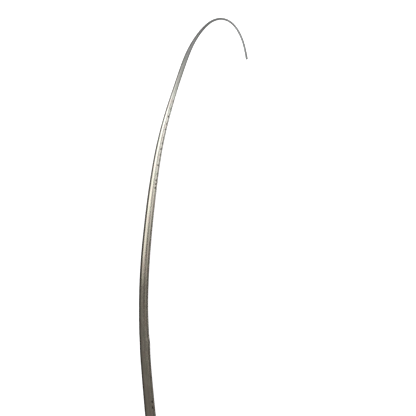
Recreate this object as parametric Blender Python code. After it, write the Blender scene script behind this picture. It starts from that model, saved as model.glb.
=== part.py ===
"""A stripped ostrich feather quill, lying on its side: the bare, painted shaft of a plume.

The quill grew as one piece, so it is one solid. It starts at the round base that sat in the skin, with its
small pit, and goes on as the four-sided shaft that carried the barbs. That has a groove down its inner face
and a narrow ledge along each inner corner, where the barbs were pulled away. It tapers to a thread that hooks
right over. The quill rests on one flattened side. Metres, +Z up, origin under the middle of its bounding box.
"""

import math

import bmesh
import bpy

# Driving dimensions
LENGTH = 0.462  # along the quill, seen from above
ROUND_BASE = 0.055  # the round part, up to where the groove begins
RESTS_FROM = 0.0385  # where along the round base it begins to rest on its side
FLATTENED = 0.96  # share of the half width that is left on the side that the quill rests on
HOOK_LIFT = 0.004  # how far the thin tip stands off the surface
HOOK_LIFT_FROM = 0.385  # where along the quill it begins to rise

# The course of the quill seen from above: it sets out at this angle from +X, and each bend turns it clockwise,
# or back where its turn is negative. A bend is its place along the quill, its turn in degrees and the length
# that softens it.
BASE_HEADING = 96.2
BENDS = (
    (0.1690, 2.3, 0.0012),  # a slight kink at the little shoulder, to the inner side and back
    (0.1758, -5.9, 0.0008),
    (0.1798, 3.6, 0.0010),
    (0.2066, 13.5, 0.0258),
    (0.3255, 11.5, 0.0147),
    (0.3957, 18.6, 0.0060),
    (0.4254, 116.1, 0.0057),
    (0.4479, 18.7, 0.0054),
)

# Place along the quill, depth from the outer to the inner side of the curve, and width across it
GIRTHS = (
    (0.0000, 0.0030, 0.0030),
    (0.0040, 0.0040, 0.0040),
    (0.0120, 0.0051, 0.0050),
    (0.0300, 0.0065, 0.0063),
    (0.0550, 0.0074, 0.0070),
    (0.0850, 0.0076, 0.0071),
    (0.1240, 0.0075, 0.0068),
    (0.1600, 0.0073, 0.0065),
    (0.1752, 0.0075, 0.0063),  # the little shoulder, where the stripping of the barbs began
    (0.1810, 0.0070, 0.0062),
    (0.2050, 0.0066, 0.0060),
    (0.2450, 0.0065, 0.0057),
    (0.2850, 0.0059, 0.0052),
    (0.3150, 0.0051, 0.0046),
    (0.3500, 0.0041, 0.0038),
    (0.3650, 0.0035, 0.0034),
    (0.3850, 0.0033, 0.0031),
    (0.4000, 0.0024, 0.0023),
    (0.4150, 0.0018, 0.0018),
    (0.4300, 0.0015, 0.0015),
    (0.4580, 0.0015, 0.0015),
    (0.4620, 0.0016, 0.0016),  # a bead of dried paint on the tip
)

ROUND_POWER = 2.0  # a section's power: 2 is an ellipse, and more is squarer
OUTER_POWER = 2.1  # the shaft is arched on its outer side and squarer on its inner side
INNER_POWER = 2.8
INNER_STRETCH = 1.13  # so that the two lips beside the groove reach the full depth
SQUARE_BY = 0.025  # the length past the round base over which the section turns square
THREAD_FROM = 0.390  # where the shaft turns to a round thread again
THREAD_BY = 0.030

GROOVE_DEPTH = 0.11  # share of the depth
GROOVE_SPAN = 0.62  # share of the half width
LEDGE_ANGLE = 135.0  # degrees round the section, from its outer side over the top
LEDGE_CUT = 0.07  # share of the section's radius that the ledge takes
LEDGE_SPREAD = 12.0  # degrees

# Rings that close each end: the share of that end's girth, and the place along the quill from that end
NOSE_RINGS = (
    (0.28, 0.0016),  # the floor of the pit
    (0.42, 0.0008),
    (0.47, -0.0005),  # the pit's rim
    (0.73, -0.0006),
    (0.92, -0.0003),
)
TIP_RINGS = ((0.85, 0.0002), (0.45, 0.0003))

SIDES = 24
MOST_TURN = 3.0  # degrees between two sections
LONGEST_STEP = 0.006
CLOSE_STEPS = (  # start and end of a stretch with closer sections, and its step
    (0.000, 0.012, 0.002),  # the base end
    (0.166, 0.184, 0.0015),  # the little shoulder
)
SHORTEST_STEP = 0.0004
FINE_STEP = 0.0001  # the step that the course is added up in

SILVER_PAINT = (0.36, 0.35, 0.33, 1.0)
PAINT_METALLIC = 0.9
PAINT_ROUGHNESS = 0.35
SHARP_ANGLE = 50.0  # degrees between two faces whose edge stays sharp


def clear_scene():
    for obj in list(bpy.data.objects):
        bpy.data.objects.remove(obj)


def eased(value):
    """0 below 0 and 1 above 1, with a smooth rise between them."""
    value = min(1.0, max(0.0, value))
    return value * value * (3.0 - 2.0 * value)


def girth(place):
    """Depth and width of the quill at a place along it, on a smooth curve through GIRTHS."""
    last = len(GIRTHS) - 2
    row = next((i for i in range(last + 1) if place <= GIRTHS[i + 1][0]), last)
    before, start, end, after = (
        GIRTHS[max(row - 1, 0)],
        GIRTHS[row],
        GIRTHS[row + 1],
        GIRTHS[min(row + 2, last + 1)],
    )
    span = end[0] - start[0]
    t = (place - start[0]) / span
    sizes = []
    for i in (1, 2):
        leaving = (end[i] - before[i]) / (end[0] - before[0]) * span
        arriving = (after[i] - start[i]) / (after[0] - start[0]) * span
        sizes.append(
            start[i] * (2 * t**3 - 3 * t**2 + 1)
            + leaving * (t**3 - 2 * t**2 + t)
            + end[i] * (3 * t**2 - 2 * t**3)
            + arriving * (t**3 - t**2)
        )
    return sizes


def heading(place):
    """The angle of the quill's course at a place along it, in radians."""
    turned = sum(
        turn / (1.0 + math.exp((at - place) / softness))
        for at, turn, softness in BENDS
    )
    return math.radians(BASE_HEADING - turned)


def step_at(place):
    """The longest way to the next section."""
    for start, end, step in CLOSE_STEPS:
        if start <= place < end:
            return step
    return LONGEST_STEP


def course():
    """Places along the quill, each with its point (x, y) seen from above, close together where it bends."""
    x = y = place = 0.0
    last_place, last_heading = 0.0, heading(0.0)
    stations = [(0.0, 0.0, 0.0)]
    while place < LENGTH - FINE_STEP / 2:
        middle = heading(place + FINE_STEP / 2)
        x += math.cos(middle) * FINE_STEP
        y += math.sin(middle) * FINE_STEP
        place += FINE_STEP
        turned = abs(math.degrees(heading(place) - last_heading))
        if place - last_place >= step_at(place) or turned >= MOST_TURN:
            stations.append((place, x, y))
            last_place, last_heading = place, heading(place)
    if LENGTH - last_place < SHORTEST_STEP:
        stations.pop()
    stations.append((LENGTH, x, y))
    return stations


def centre_height(place):
    """How high the quill's centreline runs, so that its side rests on the surface up to the hook."""
    resting = girth(max(place, RESTS_FROM))[1] / 2 * FLATTENED
    rise = (place - HOOK_LIFT_FROM) / (LENGTH - HOOK_LIFT_FROM)
    return resting + HOOK_LIFT * eased(rise)


def signed_power(value, power):
    return math.copysign(abs(value) ** power, value)


def squareness(place):
    """1 on the four-sided shaft, and 0 on the round base and on the thread at the tip."""
    return eased((place - ROUND_BASE) / SQUARE_BY) * (
        1.0 - eased((place - THREAD_FROM) / THREAD_BY)
    )


def section_point(place, angle, depth, width):
    """A point of the section: how far out it is from the centreline, and how far up."""
    square = squareness(place)
    shaft_power = OUTER_POWER if math.cos(angle) > 0.0 else INNER_POWER
    power = 2.0 / (ROUND_POWER + (shaft_power - ROUND_POWER) * square)
    out = depth / 2 * signed_power(math.cos(angle), power)
    up = width / 2 * signed_power(math.sin(angle), power)
    from_ledge = (abs(math.degrees(angle)) - LEDGE_ANGLE) / LEDGE_SPREAD
    ledge = 1.0 - LEDGE_CUT * square * math.exp(-(from_ledge**2))
    in_groove = up / (GROOVE_SPAN * width / 2)
    if out < 0.0:
        out *= 1.0 + (INNER_STRETCH - 1.0) * square
        out += GROOVE_DEPTH * depth * square * max(0.0, 1.0 - in_groove**2)
    return out * ledge, up * ledge


def ring(mesh, station, scale=1.0, along=0.0):
    """The vertices of one section, which can be shrunk and moved along the quill."""
    place, x, y = station
    turned = heading(place)
    depth, width = (size * scale for size in girth(place))
    vertices = []
    for side in range(SIDES):
        angle = math.radians(-180.0 + 360.0 * side / SIDES)
        out, up = section_point(place, angle, depth, width)
        point = (
            x - math.sin(turned) * out + math.cos(turned) * along,
            y + math.cos(turned) * out + math.sin(turned) * along,
            max(0.0, centre_height(place) + up),
        )
        vertices.append(mesh.verts.new(point))
    return vertices


def quill_rings(mesh):
    """Every section from the floor of the pit in the base, over the rounded end, to the tip of the hook."""
    stations = course()
    rings = [ring(mesh, stations[0], scale, along) for scale, along in NOSE_RINGS]
    rings += [ring(mesh, station) for station in stations]
    rings += [ring(mesh, stations[-1], scale, along) for scale, along in TIP_RINGS]
    return rings


def skin(mesh, rings):
    """Faces between each two sections, and one across each end."""
    for near, far in zip(rings, rings[1:]):
        for side in range(SIDES):
            beside = (side + 1) % SIDES
            mesh.faces.new((near[side], near[beside], far[beside], far[side]))
    mesh.faces.new(list(reversed(rings[0])))
    mesh.faces.new(rings[-1])
    bmesh.ops.recalc_face_normals(mesh, faces=mesh.faces)


def centre_over_origin(mesh):
    """Moves the quill so that the origin is under the middle of its bounding box."""
    xs = [v.co.x for v in mesh.verts]
    ys = [v.co.y for v in mesh.verts]
    middle = ((min(xs) + max(xs)) / 2, (min(ys) + max(ys)) / 2)
    bmesh.ops.translate(mesh, verts=mesh.verts, vec=(-middle[0], -middle[1], 0.0))


def silver_paint():
    material = bpy.data.materials.new("silver_paint")
    material.use_nodes = True
    shader = material.node_tree.nodes["Principled BSDF"]
    shader.inputs["Base Color"].default_value = SILVER_PAINT
    shader.inputs["Metallic"].default_value = PAINT_METALLIC
    shader.inputs["Roughness"].default_value = PAINT_ROUGHNESS
    return material


def build_quill():
    mesh = bmesh.new()
    skin(mesh, quill_rings(mesh))
    centre_over_origin(mesh)
    data = bpy.data.meshes.new("quill")
    mesh.to_mesh(data)
    mesh.free()
    data.materials.append(silver_paint())
    data.shade_smooth()
    data.set_sharp_from_angle(angle=math.radians(SHARP_ANGLE))
    quill = bpy.data.objects.new("quill", data)
    bpy.context.scene.collection.objects.link(quill)
    return quill


def main():
    clear_scene()
    build_quill()


main()
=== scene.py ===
"""Looks of a stripped ostrich feather quill, painted silver and lying on its side.

Metres, in the CAD's frame. The shaft is lofted again along the CAD's own course, finely enough for the
scars that the barbs left, the furrow and fine ridges of its faces and the growth rings of its round base.
The stubs of torn barbs are one joined mesh. The paint reads where it is from attributes laid down straight
along the shaft, so that its streaks run with it.
"""

import math

import bpy
import numpy as np
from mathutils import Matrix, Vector


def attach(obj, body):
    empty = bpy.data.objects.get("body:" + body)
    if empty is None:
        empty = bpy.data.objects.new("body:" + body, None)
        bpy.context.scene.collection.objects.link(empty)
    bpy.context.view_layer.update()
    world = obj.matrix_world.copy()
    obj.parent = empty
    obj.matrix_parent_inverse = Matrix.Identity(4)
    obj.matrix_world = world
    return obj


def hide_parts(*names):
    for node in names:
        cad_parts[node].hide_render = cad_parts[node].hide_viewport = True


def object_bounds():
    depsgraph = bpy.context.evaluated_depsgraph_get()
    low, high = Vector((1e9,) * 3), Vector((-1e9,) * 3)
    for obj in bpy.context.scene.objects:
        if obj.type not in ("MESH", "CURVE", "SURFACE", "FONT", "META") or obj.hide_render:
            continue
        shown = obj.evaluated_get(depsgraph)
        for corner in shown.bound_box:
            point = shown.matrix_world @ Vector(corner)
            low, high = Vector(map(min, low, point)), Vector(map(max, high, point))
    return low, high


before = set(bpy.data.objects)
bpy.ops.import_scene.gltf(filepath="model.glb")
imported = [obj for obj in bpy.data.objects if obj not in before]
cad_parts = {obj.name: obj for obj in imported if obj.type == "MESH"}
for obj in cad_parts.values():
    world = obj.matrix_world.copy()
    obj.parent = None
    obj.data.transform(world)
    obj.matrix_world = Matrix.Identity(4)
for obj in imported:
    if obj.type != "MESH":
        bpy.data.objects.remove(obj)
cad_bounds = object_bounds()

# The quill, as the CAD has it
LENGTH = 0.462
ROUND_BASE = 0.055
RESTS_FROM = 0.0385
FLATTENED = 0.96
HOOK_LIFT = 0.004
HOOK_LIFT_FROM = 0.385
BASE_HEADING = 96.2
BENDS = (
    (0.1690, 2.3, 0.0012),
    (0.1758, -5.9, 0.0008),
    (0.1798, 3.6, 0.0010),
    (0.2066, 13.5, 0.0258),
    (0.3255, 11.5, 0.0147),
    (0.3957, 18.6, 0.0060),
    (0.4254, 116.1, 0.0057),
    (0.4479, 18.7, 0.0054),
)
GIRTHS = (
    (0.0000, 0.0030, 0.0030),
    (0.0040, 0.0040, 0.0040),
    (0.0120, 0.0051, 0.0050),
    (0.0300, 0.0065, 0.0063),
    (0.0550, 0.0074, 0.0070),
    (0.0850, 0.0076, 0.0071),
    (0.1240, 0.0075, 0.0068),
    (0.1600, 0.0073, 0.0065),
    (0.1752, 0.0075, 0.0063),
    (0.1810, 0.0070, 0.0062),
    (0.2050, 0.0066, 0.0060),
    (0.2450, 0.0065, 0.0057),
    (0.2850, 0.0059, 0.0052),
    (0.3150, 0.0051, 0.0046),
    (0.3500, 0.0041, 0.0038),
    (0.3650, 0.0035, 0.0034),
    (0.3850, 0.0033, 0.0031),
    (0.4000, 0.0024, 0.0023),
    (0.4150, 0.0018, 0.0018),
    (0.4300, 0.0015, 0.0015),
    (0.4580, 0.0015, 0.0015),
    (0.4620, 0.0016, 0.0016),
)
ROUND_POWER = 2.0
OUTER_POWER = 2.1
INNER_POWER = 2.8
INNER_STRETCH = 1.13
SQUARE_BY = 0.025
THREAD_FROM = 0.390
THREAD_BY = 0.030
GROOVE_DEPTH = 0.11
GROOVE_SPAN = 0.62
LEDGE_ANGLE = 135.0
LEDGE_CUT = 0.07
LEDGE_SPREAD = 12.0

# Rings that close each end: the share of that end's girth, and the place along the quill from that end
NOSE_RINGS = (
    (0.10, 0.00160),
    (0.28, 0.00155),
    (0.40, 0.00112),
    (0.44, 0.00032),
    (0.47, -0.00036),
    (0.54, -0.00054),
    (0.73, -0.00060),
    (0.88, -0.00045),
    (0.96, -0.00024),
)
TIP_RINGS = ((0.93, 0.00014), (0.70, 0.00026), (0.14, 0.00031))

# How finely the shaft is lofted here
STATION_STEP = 0.0005
COARSE_ANGLE = 5.5  # degrees round the section
FINE_ANGLE = 2.2  # degrees round the section, across the ledge
FINE_REACH = 30.0  # degrees to each side of the ledge

# Relief in metres. All but the growth rings and the socket is less where the shaft's depth is under THICK.
THICK = 0.0075
LEAST_RADIUS = 1e-6  # so that nothing is divided by 0
SCAR_DEPTH = 0.00016
FURROW_DEPTH = 0.00003  # a shallow furrow down each broad side
FURROW_AT = -0.18  # share of the half depth, towards the inner side
FURROW_WIDTH = 0.22
FURROW_FADES = 0.85  # share of it that is lost towards the tip
FURROW_FADES_FROM = 0.220
FURROW_FADES_BY = 0.055
RIDGE_HEIGHT = 0.00003  # fine ridges that run down the shaft
RIDGE_COUNT = 44
RIDGE_STARTS = (-0.05, 0.40)
RIDGE_LENGTH = (0.05, 0.22)
RIDGE_ENDS = 0.03  # the length over which a ridge rises, or falls
RIDGE_BREADTH = (2.5, 6.0)  # degrees
RIDGE_DRIFT = (-9.0, 9.0)  # degrees that a ridge wanders round over DRIFT_LENGTH
DRIFT_LENGTH = 0.2
RING_HEIGHT = 0.00003  # growth rings round the round base
RINGS_FROM = 0.006
RINGS_PAST_BASE = 0.03
RING_SPACING = (0.0025, 0.006)
RING_LENGTH = (0.0006, 0.0014)
RING_SHARE = (0.3, 1.0)
RINGS_LOST = 0.7  # share of them that is lost where the shaft is four-sided
SWELL_HEIGHT = 0.00002  # slow swellings
SWELL_LENGTHS = (0.031, 0.047, 0.083)
SWELL_PHASES = (0.0, 6.28)
SOCKET_DEPTH = 0.0008  # the small pit on the inner face where the groove begins
SOCKET_AT = 0.059
SOCKET_LENGTH = 0.0022
SOCKET_BREADTH = 13.0  # degrees

# Torn spots. The lone ones are each its degrees round, place, length, degrees across and depth.
LONE_SPOTS = (
    (121.0, 0.1295, 0.0009, 11.0, 1.0),  # two deeper nicks low on the upper side
    (121.0, 0.1338, 0.0009, 11.0, 1.0),
    (142.0, 0.1772, 0.0032, 13.0, 0.33),  # the worn rim of the little shoulder
)
SPOT_WANDER = 3.0  # degrees
TORN_FROM = 0.063  # the row along each ledge, where the barbs were
TORN_TO = 0.425
TORN_SPACING = (0.0012, 0.0036)
TORN_LENGTH = (0.0004, 0.0009)
TORN_DEPTH = (0.1, 0.6)
TORN_BREADTH = (4.0, 8.0)  # degrees
SPECK_ANGLE = 117.0  # degrees round the section: a row of small dark specks beside the ledge, pits coloured as bare horn and painted shade
SPECKS_FROM = 0.288
SPECKS_TO = 0.357
SPECK_SPACING = (0.0025, 0.0065)
SPECK_LENGTH = (0.00045, 0.0008)
SPECK_BREADTH = (8.0, 12.0)
SPECK_DEPTH = (0.4, 0.9)
STRIPPED_FROM = 0.165  # below here the barbs came off more cleanly
STRIPPED_BY = 0.030
CLEAN_SHARE = 0.12  # how much is torn there

# The stubs of barbs on the ledges
STUB_SPACING = (0.0005, 0.0010)
STUB_HEIGHT = (0.00010, 0.00042)
STUB_LEAN = (0.4, 1.5)  # share of its height
STUB_HALF_LENGTH = (0.00010, 0.00020)
STUB_HALF_BREADTH = (0.00006, 0.00011)
STUB_OFFSETS = (-9.0, -6.0, -3.0, 0.0, 3.0, 6.0)  # degrees off the middle of the ledge
STUB_RINGS = ((-0.3, 0.0, 1.0), (0.4, 0.3, 0.8), (0.8, 0.9, 0.4))  # height, lean and girth, as shares
STUB_TIP = (1.0, 1.4)  # height and lean
STUB_SIDES = 4
STUB_CORNER = 45.0  # degrees
STUB_BARENESS_AND_SHADE = (0.0, 0.5)  # its square is how dark the stub is painted: partly bare horn, partly painted shade that dulls the softboxes' glints on it

# The paint's colour along the quill, from the round base at 0 to the tip at 1. It is partly the paint's own
# tone
# and partly painted highlight and shade: its lighter and darker stretches, and the dark hook, stand for how
# light falls.
PAINT_TONE_AND_SHADE_ALONG = (
    (0.00, (0.53, 0.47, 0.39)),
    (0.34, (0.52, 0.47, 0.39)),
    (0.375, (0.485, 0.44, 0.37)),
    (0.44, (0.45, 0.41, 0.34)),
    (0.485, (0.46, 0.42, 0.35)),
    (0.52, (0.54, 0.49, 0.42)),
    (0.555, (0.45, 0.42, 0.36)),
    (0.60, (0.515, 0.485, 0.42)),
    (0.66, (0.535, 0.517, 0.467)),
    (0.74, (0.57, 0.57, 0.53)),
    (0.77, (0.51, 0.51, 0.475)),
    (0.81, (0.325, 0.325, 0.305)),
    (0.84, (0.265, 0.265, 0.26)),
    (0.89, (0.18, 0.18, 0.18)),
    (0.93, (0.315, 0.32, 0.32)),
    (1.00, (0.26, 0.27, 0.27)),
)
THIN_PAINT = (0.62, 0.60, 0.58, 1.0)
PINK_TINGE = (1.0, 0.93, 0.92, 1.0)
GREEN_TINGE = (0.95, 1.0, 0.94, 1.0)
# the dark colour of the torn spots: partly bare horn, partly painted shade in their pits
PIT_SHADE_AND_BARE_HORN = (0.05, 0.045, 0.04, 1.0)
METALLIC = 0.95

# The paint's noises: the size of their features in mm, across the shaft and along it
STREAKS = (0.8, 30.0)
MOTTLE = (1.8, 8.0)
FLAKES = (0.10, 0.12)
TINT = (2.0, 6.0)

# What the noises, the torn spots (dark as bare horn and as painted shade in their pits) and the place along
# the quill do to the paint. From its first number to its second, each takes the paint from the third to the
# fourth.
MOTTLE_SHADE = (0.3, 0.7, 0.2, 0.0)
STREAK_SHADE = (0.4, 0.7, 0.0, 0.5)
FLAKE_SHADE = (0.35, 0.65, 0.0, 0.2)
PINK_IN_TINT = (0.5, 0.7, 0.0, 1.0)
PINK_ALONG = (0.78, 0.84, 1.0, 0.2)
GREEN_IN_TINT = (0.5, 0.3, 0.0, 1.0)
PIT_SHADE_IN_SCAR = (0.08, 0.45, 0.0, 1.0)
MOTTLE_ROUGHNESS = (0.3, 0.7, 0.16, 0.20)
ROUGHNESS_ALONG = (0.74, 0.80, 0.0, 0.16)
SCAR_ROUGHNESS = 0.3
STREAK_BUMP = 0.6
FLAKE_BUMP = 0.03
BUMP_STRENGTH = 0.5
BUMP_DISTANCE = 0.00006

# The photograph's view
PIXELS = 416
PIXEL = 0.00072  # metres of the quill to a pixel
PHOTO_MIDDLE = (0.01055, 0.06797)  # where the middle of the photograph lies
LENS = 85.0
SENSOR = 36.0
MID_HEIGHT = 0.003  # the height at which the scale holds
CLIP_START = 0.01

# The softboxes: each one's centre, the point that it faces, its level and sloping sides, and its brightness
SOFTBOXES = (
    ("left_softbox", (-0.51, 0.3225, 0.89), (0.0, 0.3225, 0.0), (0.475, 0.94), 2.35),
    ("left_lower_end", (-0.51, 0.0445, 0.89), (0.0, 0.0445, 0.0), (0.081, 0.94), 1.45),
    ("right_softbox", (0.55, 0.265, 0.85), (0.0, 0.265, 0.0), (0.41, 1.10), 1.6),
    ("right_lower_end", (0.55, 0.0125, 0.85), (0.0, 0.0125, 0.0), (0.095, 1.10), 1.1),
    ("top_softbox", (0.0, 0.44, 0.95), (0.0, 0.44, 0.0), (0.20, 0.62), 0.5),
)

# The room. A direction's share is how far it points up, from -1 to 1, or to either end, from 0 to 1.
SKY_BELOW = 0.045
SKY_ABOVE = 0.24
SKY_FROM = -0.15  # the share at which the room begins to be lighter than below
SKY_TO = 0.4
ENDS_GLOW = 0.40  # how much lighter the room is towards the quill's two ends
ENDS_FROM = 0.30
ENDS_TO = 0.60
CARD_X = (-0.15, 0.20)  # a card on the floor that brightens the upper quill's sides from below
CARD_Y = (0.03, 0.45)
CARD_FULL_AT = 0.20
CARD_GLOW = 0.90
BACKDROP_REACH = 6.0
BACKDROP_BEND = 2.0
BACKDROP_BENDS = 9
BACKDROP_HEIGHT = 6.0
BACKDROP_SIDES = 48
BACKDROP_COLOUR = (0.9, 0.9, 0.9, 1.0)
BACKDROP_ROUGHNESS = 0.9
BACKDROP_GLOW = 0.8
FLOOR_DROP = 0.0002  # the floor lies this far under the quill
WHITE = (1.0, 1.0, 1.0, 1.0)
BLACK = (0.0, 0.0, 0.0, 1.0)

SEED = 11
MM = 1000.0


def eased(value):
    """0 below 0 and 1 above 1, with a smooth rise between them."""
    value = np.clip(value, 0.0, 1.0)
    return value * value * (3.0 - 2.0 * value)


def bell(value, width):
    """1 where value is 0, and falling smoothly to each side of it."""
    return np.exp(-((value / width) ** 2))


def girth(place):
    """Depth and width of the quill at a place along it, on a smooth curve through GIRTHS."""
    last = len(GIRTHS) - 2
    row = next((i for i in range(last + 1) if place <= GIRTHS[i + 1][0]), last)
    before, start, end, after = (
        GIRTHS[max(row - 1, 0)],
        GIRTHS[row],
        GIRTHS[row + 1],
        GIRTHS[min(row + 2, last + 1)],
    )
    span = end[0] - start[0]
    t = (place - start[0]) / span
    sizes = []
    for i in (1, 2):
        leaving = (end[i] - before[i]) / (end[0] - before[0]) * span
        arriving = (after[i] - start[i]) / (after[0] - start[0]) * span
        sizes.append(
            start[i] * (2 * t**3 - 3 * t**2 + 1)
            + leaving * (t**3 - 2 * t**2 + t)
            + end[i] * (3 * t**2 - 2 * t**3)
            + arriving * (t**3 - t**2)
        )
    return sizes


def heading(place):
    """The angle of the quill's course at places along it, in radians."""
    turned = sum(
        turn / (1.0 + np.exp((at - place) / softness)) for at, turn, softness in BENDS
    )
    return np.radians(BASE_HEADING - turned)


class Course:
    """Stations along the quill: their places, points seen from above, headings, girths and heights."""

    def __init__(self, step):
        self.place = np.linspace(0.0, LENGTH, round(LENGTH / step) + 1)
        step = self.place[1]
        middles = heading(self.place[:-1] + step / 2)
        self.x = np.concatenate(([0.0], np.cumsum(np.cos(middles) * step)))
        self.y = np.concatenate(([0.0], np.cumsum(np.sin(middles) * step)))
        self.heading = heading(self.place)
        sizes = np.array([girth(p) for p in self.place])
        self.depth, self.width = sizes[:, 0], sizes[:, 1]
        resting = [girth(max(p, RESTS_FROM))[1] / 2 * FLATTENED for p in self.place]
        rise = (self.place - HOOK_LIFT_FROM) / (LENGTH - HOOK_LIFT_FROM)
        self.height = np.array(resting) + HOOK_LIFT * eased(rise)
        self.square = eased((self.place - ROUND_BASE) / SQUARE_BY) * (
            1.0 - eased((self.place - THREAD_FROM) / THREAD_BY)
        )
        self.centre_like_the_cad()

    def centre_like_the_cad(self):
        """Moves the course to where the CAD has it, touching its box at the low X and the high Y."""
        low, high = cad_bounds
        self.x += low[0] - (self.x - np.sin(self.heading) * self.depth / 2).min()
        self.y += high[1] - (self.y + np.cos(self.heading) * self.depth / 2).max()

    def points(self, row, out, up, along):
        """Points near a station, from how far out from the centreline, up and along they are."""
        turned = self.heading[row]
        x = self.x[row] - math.sin(turned) * out + math.cos(turned) * along
        y = self.y[row] + math.cos(turned) * out + math.sin(turned) * along
        z = np.maximum(0.0, self.height[row] + up)
        return np.stack((x, y, z), 1)


def signed_power(value, power):
    return np.copysign(np.abs(value) ** power, value)


def section(course, angles):
    """Every station's section: how far out and how far up its points are, as station by angle arrays."""
    square = course.square[:, None]
    shaft_power = np.where(np.cos(angles) > 0.0, OUTER_POWER, INNER_POWER)[None, :]
    power = 2.0 / (ROUND_POWER + (shaft_power - ROUND_POWER) * square)
    out = course.depth[:, None] / 2 * signed_power(np.cos(angles)[None, :], power)
    up = course.width[:, None] / 2 * signed_power(np.sin(angles)[None, :], power)
    from_ledge = (np.abs(np.degrees(angles)) - LEDGE_ANGLE) / LEDGE_SPREAD
    ledge = 1.0 - LEDGE_CUT * square * np.exp(-(from_ledge**2))[None, :]
    in_groove = up / (GROOVE_SPAN * course.width[:, None] / 2)
    groove = GROOVE_DEPTH * course.depth[:, None] * square * np.clip(1.0 - in_groove**2, 0.0, None)
    stretch = 1.0 + (INNER_STRETCH - 1.0) * square
    out = np.where(out < 0.0, out * stretch + groove, out)
    return out * ledge, up * ledge


def section_angles():
    """Angles round the section from -180 degrees, closer together across the two ledges."""
    angles = []
    angle = -180.0
    while angle < 180.0 - COARSE_ANGLE / 2:
        angles.append(angle)
        across_ledge = abs(abs(angle) - LEDGE_ANGLE) < FINE_REACH
        angle += FINE_ANGLE if across_ledge else COARSE_ANGLE
    return np.radians(np.array(angles))


def torn_share(place):
    """How badly the quill is torn at a place along it."""
    return CLEAN_SHARE + (1.0 - CLEAN_SHARE) * eased((place - STRIPPED_FROM) / STRIPPED_BY)


def torn_spots(random):
    """Where barbs were torn off: each spot's degrees round, place, length, degrees across and depth."""
    spots = list(LONE_SPOTS)
    for side in (-1.0, 1.0):
        place = TORN_FROM
        while place < TORN_TO:
            at = side * (LEDGE_ANGLE + random.normal(0.0, SPOT_WANDER))
            length = random.uniform(*TORN_LENGTH)
            depth = random.uniform(*TORN_DEPTH) * torn_share(place)
            spots.append((at, place, length, random.uniform(*TORN_BREADTH), depth))
            place += random.uniform(*TORN_SPACING)
        place = SPECKS_FROM
        while place < SPECKS_TO:
            at = side * (SPECK_ANGLE + random.normal(0.0, SPOT_WANDER))
            length = random.uniform(*SPECK_LENGTH)
            breadth = random.uniform(*SPECK_BREADTH)
            spots.append((at, place, length, breadth, random.uniform(*SPECK_DEPTH)))
            place += random.uniform(*SPECK_SPACING)
    return spots


def scars(course, angles, random):
    """How deep each point of the shaft lies in a torn spot, from 0 to 1."""
    depths = np.zeros((len(course.place), len(angles)))
    degrees = np.degrees(angles)
    for at, place, length, breadth, depth in torn_spots(random):
        spot = depth * np.outer(bell(course.place - place, length), bell(degrees - at, breadth))
        depths = np.maximum(depths, spot)
    return depths


def ridges(place, degrees, random):
    """Fine ridges that run down the shaft, each for a part of its length, about 1 high."""
    height = np.zeros((len(place), degrees.shape[1]))
    for _ in range(RIDGE_COUNT):
        at = random.uniform(-180.0, 180.0)
        drift = random.uniform(*RIDGE_DRIFT)
        start = random.uniform(*RIDGE_STARTS)
        length = random.uniform(*RIDGE_LENGTH)
        size = random.uniform(-1.0, 1.0)
        breadth = random.uniform(*RIDGE_BREADTH)
        past = place - start
        shown = eased(past / RIDGE_ENDS) * (1.0 - eased((past - length) / RIDGE_ENDS))
        line = at + drift * past / DRIFT_LENGTH
        height += size * shown * bell(degrees - line, breadth)
    return height


def growth_rings(place, random):
    """Rings round the round base, about 1 high."""
    height = np.zeros_like(place)
    at = RINGS_FROM
    while at < ROUND_BASE + RINGS_PAST_BASE:
        height += random.uniform(*RING_SHARE) * bell(place - at, random.uniform(*RING_LENGTH))
        at += random.uniform(*RING_SPACING)
    return height


def swellings(place, random):
    """Slow swellings, as in anything grown, about 1 high."""
    height = np.zeros_like(place)
    for length in SWELL_LENGTHS:
        height += np.sin(place / length * 2.0 * math.pi + random.uniform(*SWELL_PHASES))
    return height


def relief(course, angles, out, scar, random):
    """How far each point of the shaft stands out from the plain section, in metres."""
    place = course.place[:, None]
    degrees = np.degrees(angles)[None, :]
    outward = out / (course.depth[:, None] / 2)
    thick = (course.depth / THICK)[:, None]
    on_shaft = course.square[:, None]
    furrow = bell(outward - FURROW_AT, FURROW_WIDTH)
    furrow_left = 1.0 - FURROW_FADES * eased((place - FURROW_FADES_FROM) / FURROW_FADES_BY)
    rings_left = 1.0 - on_shaft * RINGS_LOST
    raised = -SCAR_DEPTH * thick * scar
    raised = raised - FURROW_DEPTH * thick * on_shaft * furrow_left * furrow
    raised = raised + RIDGE_HEIGHT * thick * ridges(place, degrees, random)
    raised = raised + RING_HEIGHT * growth_rings(place, random) * rings_left
    raised = raised + SWELL_HEIGHT * thick * swellings(place, random)
    off_inner = 180.0 - np.abs(degrees)
    socket = SOCKET_DEPTH * bell(place - SOCKET_AT, SOCKET_LENGTH) * bell(off_inner, SOCKET_BREADTH)
    return raised - socket


def mesh_from(name, points, faces):
    mesh = bpy.data.meshes.new(name)
    mesh.from_pydata(points.tolist(), [], faces)
    return mesh


def tube_faces(rings, count, first=0):
    """Faces of a closed tube of rings of count vertices each, with an end face at its first ring."""
    faces = [tuple(range(first, first + count))]
    for ring in range(rings - 1):
        start = first + ring * count
        for side in range(count):
            beside = (side + 1) % count
            faces.append((start + side, start + side + count, start + beside + count, start + beside))
    return faces


def add_paint_attributes(mesh, straight, around, scar):
    """Stores where each point is, in mm and as shares of the section and length, and how dark its torn spot
    or stub is painted, as bare horn and as painted shade.
    """
    for name, kind, key, values in (
        ("straight", "FLOAT_VECTOR", "vector", straight),
        ("section", "FLOAT_VECTOR", "vector", around),
        ("scar", "FLOAT", "value", scar),
    ):
        attribute = mesh.attributes.new(name, kind, "POINT")
        attribute.data.foreach_set(key, np.asarray(values, float).ravel())


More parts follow.
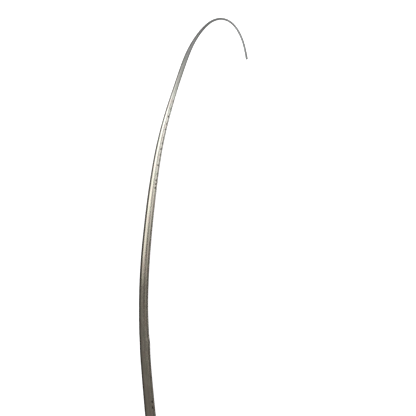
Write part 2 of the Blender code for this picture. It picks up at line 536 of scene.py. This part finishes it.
def shaft_mesh(course, random):
    """The shaft from the floor of the pit in its base to its tip, with its relief."""
    angles = section_angles()
    scar = scars(course, angles, random)
    out, up = section(course, angles)
    radius = np.maximum(np.hypot(out, up), LEAST_RADIUS)
    grow = 1.0 + relief(course, angles, out, scar, random) / radius
    out, up = out * grow, up * grow
    last = len(course.place) - 1
    rings = [(0, scale, along) for scale, along in NOSE_RINGS]
    rings += [(row, 1.0, 0.0) for row in range(last + 1)]
    rings += [(last, scale, along) for scale, along in TIP_RINGS]
    points = np.concatenate(
        [course.points(row, out[row] * scale, up[row] * scale, along) for row, scale, along in rings]
    )
    points = np.clip(points, *cad_bounds)
    count = len(angles)
    faces = tube_faces(len(rings), count)
    faces.append(tuple(reversed(range((len(rings) - 1) * count, len(rings) * count))))
    mesh = mesh_from("quill_shaft", points, faces)
    mesh.flip_normals()  # the rings run the other way round than tube_faces takes them

    rows = np.array([ring[0] for ring in rings])
    scales = np.array([ring[1] for ring in rings])[:, None]
    places = np.repeat(course.place[rows][:, None], count, 1)
    straight = np.stack((out[rows] * scales * MM, up[rows] * scales * MM, places * MM), 2)
    half_depth = course.depth[rows][:, None] / 2
    half_width = course.width[rows][:, None] / 2
    around = np.stack((out[rows] / half_depth, up[rows] / half_width, places / LENGTH), 2)
    add_paint_attributes(mesh, straight, around, scar[rows])
    mesh.shade_smooth()
    return mesh


def stub_mesh(course, random):
    """The stubs of the barbs: short spikes along both ledges that lean to the tip, joined in one mesh."""
    points, faces, straight, around, scar = [], [], [], [], []
    corners = np.radians(STUB_CORNER + 360.0 / STUB_SIDES * np.arange(STUB_SIDES))
    for side in (-1.0, 1.0):
        angles = np.radians([side * (LEDGE_ANGLE + offset) for offset in STUB_OFFSETS])
        outs, ups = section(course, angles)
        place = TORN_FROM
        while place < TORN_TO:
            row = round(place / STATION_STEP)
            column = random.integers(len(STUB_OFFSETS))
            root = np.array((outs[row, column], ups[row, column]))
            away = root / np.hypot(*root)
            across = np.array((-away[1], away[0]))
            thick = course.depth[row] / THICK
            height = random.uniform(*STUB_HEIGHT) * thick * torn_share(place)
            lean = height * random.uniform(*STUB_LEAN)
            half_length = random.uniform(*STUB_HALF_LENGTH) * thick
            half_breadth = random.uniform(*STUB_HALF_BREADTH) * thick
            faces += tube_faces(len(STUB_RINGS), STUB_SIDES, len(points))
            top = len(points) + (len(STUB_RINGS) - 1) * STUB_SIDES
            tip = top + STUB_SIDES
            faces += [(top + i, tip, top + (i + 1) % STUB_SIDES) for i in range(STUB_SIDES)]
            spikes = [
                (rise, bend, np.cos(corners) * half_length * size, np.sin(corners) * half_breadth * size)
                for rise, bend, size in STUB_RINGS
            ]
            spikes.append((*STUB_TIP, np.zeros(1), np.zeros(1)))
            # how dark the stub is: bare horn, and painted shade that dulls the glints of the softboxes on
            # its faces
            bareness_and_shade = random.uniform(*STUB_BARENESS_AND_SHADE) ** 2
            for rise, bend, lengthwise, sideways in spikes:
                spot = root[:, None] + away[:, None] * height * rise + across[:, None] * sideways
                points.extend(course.points(row, spot[0], spot[1], lengthwise + lean * bend))
                for out, up in spot.T:
                    straight.append((out * MM, up * MM, place * MM))
                    around.append((out * 2 / course.depth[row], up * 2 / course.width[row], place / LENGTH))
                    scar.append(bareness_and_shade)
            place += random.uniform(*STUB_SPACING)
    mesh = mesh_from("barb_stubs", np.array(points), faces)
    add_paint_attributes(mesh, straight, around, scar)
    mesh.shade_smooth()
    return mesh


def set_range(node, *numbers):
    """Sets a Map Range node to take its first two numbers to its last two."""
    for name, number in zip(("From Min", "From Max", "To Min", "To Max"), numbers):
        node.inputs[name].default_value = number


class Paint:
    """A small helper that adds nodes to a material and links them."""

    def __init__(self, name):
        self.material = bpy.data.materials.new(name)
        self.material.use_nodes = True
        self.tree = self.material.node_tree
        self.shader = self.tree.nodes["Principled BSDF"]

    def node(self, kind, settings=None, **inputs):
        node = self.tree.nodes.new(kind)
        for key, value in (settings or {}).items():
            setattr(node, key, value)
        for key, value in inputs.items():
            self.put(node.inputs[key], value)
        return node

    def put(self, socket, value):
        if isinstance(value, bpy.types.NodeSocket):
            self.tree.links.new(value, socket)
        else:
            socket.default_value = value

    def math(self, operation, a, b, clamp=False):
        node = self.node("ShaderNodeMath", {"operation": operation, "use_clamp": clamp})
        self.put(node.inputs[0], a)
        self.put(node.inputs[1], b)
        return node.outputs[0]

    def split(self, vector):
        """The three parts of a vector."""
        return self.node("ShaderNodeSeparateXYZ", Vector=vector).outputs

    def spread(self, value, *numbers):
        """value is taken from the first two numbers to the last two, eased at both ends."""
        node = self.node("ShaderNodeMapRange", {"interpolation_type": "SMOOTHSTEP"}, Value=value)
        set_range(node, *numbers)
        return node.outputs["Result"]

    def mix(self, amount, a, b, blend="MIX"):
        node = self.node("ShaderNodeMix", {"data_type": "RGBA", "blend_type": blend})
        self.put(node.inputs["Factor"], amount)
        self.put(node.inputs[6], a)
        self.put(node.inputs[7], b)
        return node.outputs[2]

    def ramp(self, value, stops):
        """A colour that runs through stops, each a position and a colour, as value goes from 0 to 1."""
        node = self.node("ShaderNodeValToRGB", Fac=value)
        elements = node.color_ramp.elements
        while len(elements) < len(stops):
            elements.new(0.5)
        for element, (position, colour) in zip(elements, stops):
            element.position = position
            element.color = (*colour, 1.0)
        return node.outputs["Color"]

    def noise(self, vector, size, detail=2.0):
        """Noise whose features are of this size in mm, across the shaft and along it."""
        across, along = size
        scaled = self.node("ShaderNodeVectorMath", {"operation": "MULTIPLY"})
        self.put(scaled.inputs[0], vector)
        self.put(scaled.inputs[1], (1.0 / across, 1.0 / across, 1.0 / along))
        node = self.node("ShaderNodeTexNoise", Vector=scaled.outputs[0], Scale=1.0, Detail=detail)
        return node.outputs["Fac"]

    def attribute(self, name, output="Vector"):
        return self.node("ShaderNodeAttribute", {"attribute_name": name}).outputs[output]


def silver_paint():
    """Satin silver paint over horn: streaks along the shaft, soft mottling, a colour along the quill that
    is partly painted highlight and shade, and torn spots painted dark, as bare horn and as shade in their
    pits.
    """
    paint = Paint("silver_paint_on_horn")
    straight = paint.attribute("straight")
    along = paint.split(paint.attribute("section"))["Z"]
    scar = paint.attribute("scar", "Fac")

    streaks = paint.noise(straight, STREAKS)
    mottle = paint.noise(straight, MOTTLE)
    flakes = paint.noise(straight, FLAKES, detail=1.0)
    tint = paint.noise(straight, TINT)

    # the colour along the quill: the paint's own tone, with painted highlight and shade in its lighter and
    # darker stretches
    silver = paint.ramp(along, PAINT_TONE_AND_SHADE_ALONG)
    for shade in (paint.spread(mottle, *MOTTLE_SHADE), paint.spread(streaks, *STREAK_SHADE)):
        silver = paint.mix(shade, silver, THIN_PAINT, "MULTIPLY")
    pinkness = paint.math("MULTIPLY", paint.spread(tint, *PINK_IN_TINT), paint.spread(along, *PINK_ALONG))
    silver = paint.mix(pinkness, silver, PINK_TINGE, "MULTIPLY")
    silver = paint.mix(paint.spread(tint, *GREEN_IN_TINT), silver, GREEN_TINGE, "MULTIPLY")
    silver = paint.mix(paint.spread(flakes, *FLAKE_SHADE), silver, THIN_PAINT, "MULTIPLY")
    # torn spots darkened: bare horn, and painted shade in their pits
    silver = paint.mix(paint.spread(scar, *PIT_SHADE_IN_SCAR), silver, PIT_SHADE_AND_BARE_HORN)
    paint.put(paint.shader.inputs["Base Color"], silver)

    rough = paint.spread(mottle, *MOTTLE_ROUGHNESS)
    rough = paint.math("ADD", rough, paint.spread(along, *ROUGHNESS_ALONG))
    rough = paint.math("ADD", rough, paint.math("MULTIPLY", scar, SCAR_ROUGHNESS), clamp=True)
    paint.put(paint.shader.inputs["Roughness"], rough)
    paint.shader.inputs["Metallic"].default_value = METALLIC

    streak_bumps = paint.math("MULTIPLY", streaks, STREAK_BUMP)
    flake_bumps = paint.math("MULTIPLY", flakes, FLAKE_BUMP)
    bumps = paint.math("ADD", streak_bumps, flake_bumps)
    bump = paint.node("ShaderNodeBump", Strength=BUMP_STRENGTH, Distance=BUMP_DISTANCE, Height=bumps)
    paint.put(paint.shader.inputs["Normal"], bump.outputs["Normal"])
    return paint.material


def add_object(name, data):
    obj = bpy.data.objects.new(name, data)
    bpy.context.scene.collection.objects.link(obj)
    return obj


def build_quill():
    random = np.random.default_rng(SEED)
    course = Course(STATION_STEP)
    paint = silver_paint()
    shaft = add_object("quill_shaft", shaft_mesh(course, random))
    stubs = add_object("barb_stubs", stub_mesh(course, random))
    for piece in (shaft, stubs):
        piece.data.materials.append(paint)
        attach(piece, "root")
    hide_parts("quill")


def add_camera():
    """The camera looks straight down, with the photograph's framing."""
    data = bpy.data.cameras.new("camera")
    data.lens = LENS
    data.sensor_width = SENSOR
    data.clip_start = CLIP_START
    camera = add_object("camera", data)
    across = PIXELS * PIXEL
    camera.location = (*PHOTO_MIDDLE, MID_HEIGHT + across * LENS / SENSOR)
    bpy.context.scene.camera = camera


def add_softbox(name, centre, target, size, glow):
    """A softbox that faces target. size is its level side and its sloping side, and glow its brightness."""
    data = bpy.data.lights.new(name, "AREA")
    data.shape = "RECTANGLE"
    data.size, data.size_y = size
    data.energy = glow * math.pi * size[0] * size[1]
    light = add_object(name, data)
    light.location = centre
    aim = Vector(target) - Vector(centre)
    light.rotation_euler = aim.to_track_quat("-Z", "Y").to_euler()


def add_backdrop():
    """A white floor that curves up into a white wall all round. The quill doesn't mirror it."""
    profile = [
        (BACKDROP_REACH - BACKDROP_BEND * (1.0 - math.sin(bend)), BACKDROP_BEND * (1.0 - math.cos(bend)))
        for bend in np.radians(np.linspace(0.0, 90.0, BACKDROP_BENDS))
    ]
    profile.append((BACKDROP_REACH, BACKDROP_HEIGHT))
    turns = np.radians(np.arange(BACKDROP_SIDES) * 360.0 / BACKDROP_SIDES)
    points = np.concatenate(
        [
            np.stack((np.cos(turns) * reach, np.sin(turns) * reach, np.full(BACKDROP_SIDES, height)), 1)
            for reach, height in profile
        ]
    )
    mesh = mesh_from("backdrop", points, tube_faces(len(profile), BACKDROP_SIDES))
    mesh.shade_smooth()
    white = Paint("white_backdrop")
    white.shader.inputs["Base Color"].default_value = BACKDROP_COLOUR
    white.shader.inputs["Roughness"].default_value = BACKDROP_ROUGHNESS
    white.shader.inputs["Specular IOR Level"].default_value = 0.0
    white.shader.inputs["Emission Color"].default_value = WHITE
    white.shader.inputs["Emission Strength"].default_value = BACKDROP_GLOW
    mesh.materials.append(white.material)
    backdrop = add_object("backdrop", mesh)
    backdrop.location.z = -FLOOR_DROP
    backdrop.visible_glossy = False
    backdrop.visible_diffuse = False


def add_bounce_card():
    """A card on the floor that only the quill mirrors. It glows more and more up to CARD_FULL_AT."""
    outline = ((0, 0), (1, 0), (1, 1), (0, 1))
    corners = [(CARD_X[i], CARD_Y[j], -FLOOR_DROP / 2) for i, j in outline]
    mesh = mesh_from("bounce_card", np.array(corners), [(0, 1, 2, 3)])
    glow = Paint("bounce_card")
    glow.shader.inputs["Base Color"].default_value = BLACK
    glow.shader.inputs["Specular IOR Level"].default_value = 0.0
    glow.shader.inputs["Emission Color"].default_value = WHITE
    place = glow.split(glow.node("ShaderNodeTexCoord").outputs["Object"])
    level = glow.node("ShaderNodeMapRange", Value=place["Y"])
    set_range(level, CARD_Y[0], CARD_FULL_AT, SKY_BELOW, CARD_GLOW)
    glow.put(glow.shader.inputs["Emission Strength"], level.outputs["Result"])
    mesh.materials.append(glow.material)
    card = add_object("bounce_card", mesh)
    card.visible_camera = False
    card.visible_diffuse = False
    card.visible_shadow = False


def add_sky():
    """A dim room round the quill, darker below than above and lighter towards the quill's two ends."""
    world = bpy.data.worlds.new("room")
    world.use_nodes = True
    nodes, links = world.node_tree.nodes, world.node_tree.links
    split = nodes.new("ShaderNodeSeparateXYZ")
    links.new(nodes.new("ShaderNodeTexCoord").outputs["Generated"], split.inputs[0])
    upwards = nodes.new("ShaderNodeMapRange")
    set_range(upwards, SKY_FROM, SKY_TO, SKY_BELOW, SKY_ABOVE)
    links.new(split.outputs["Z"], upwards.inputs["Value"])
    endwise = nodes.new("ShaderNodeMath")
    endwise.operation = "ABSOLUTE"
    links.new(split.outputs["Y"], endwise.inputs[0])
    ends = nodes.new("ShaderNodeMapRange")
    ends.interpolation_type = "SMOOTHSTEP"
    set_range(ends, ENDS_FROM, ENDS_TO, 0.0, ENDS_GLOW)
    links.new(endwise.outputs[0], ends.inputs["Value"])
    total = nodes.new("ShaderNodeMath")
    total.operation = "ADD"
    links.new(upwards.outputs["Result"], total.inputs[0])
    links.new(ends.outputs["Result"], total.inputs[1])
    links.new(total.outputs[0], nodes["Background"].inputs["Strength"])
    nodes["Background"].inputs["Color"].default_value = WHITE
    bpy.context.scene.world = world


def main():
    add_camera()
    add_backdrop()
    add_sky()
    for softbox in SOFTBOXES:
        add_softbox(*softbox)
    add_bounce_card()
    bpy.context.scene.view_settings.view_transform = "Standard"
    build_quill()


main()
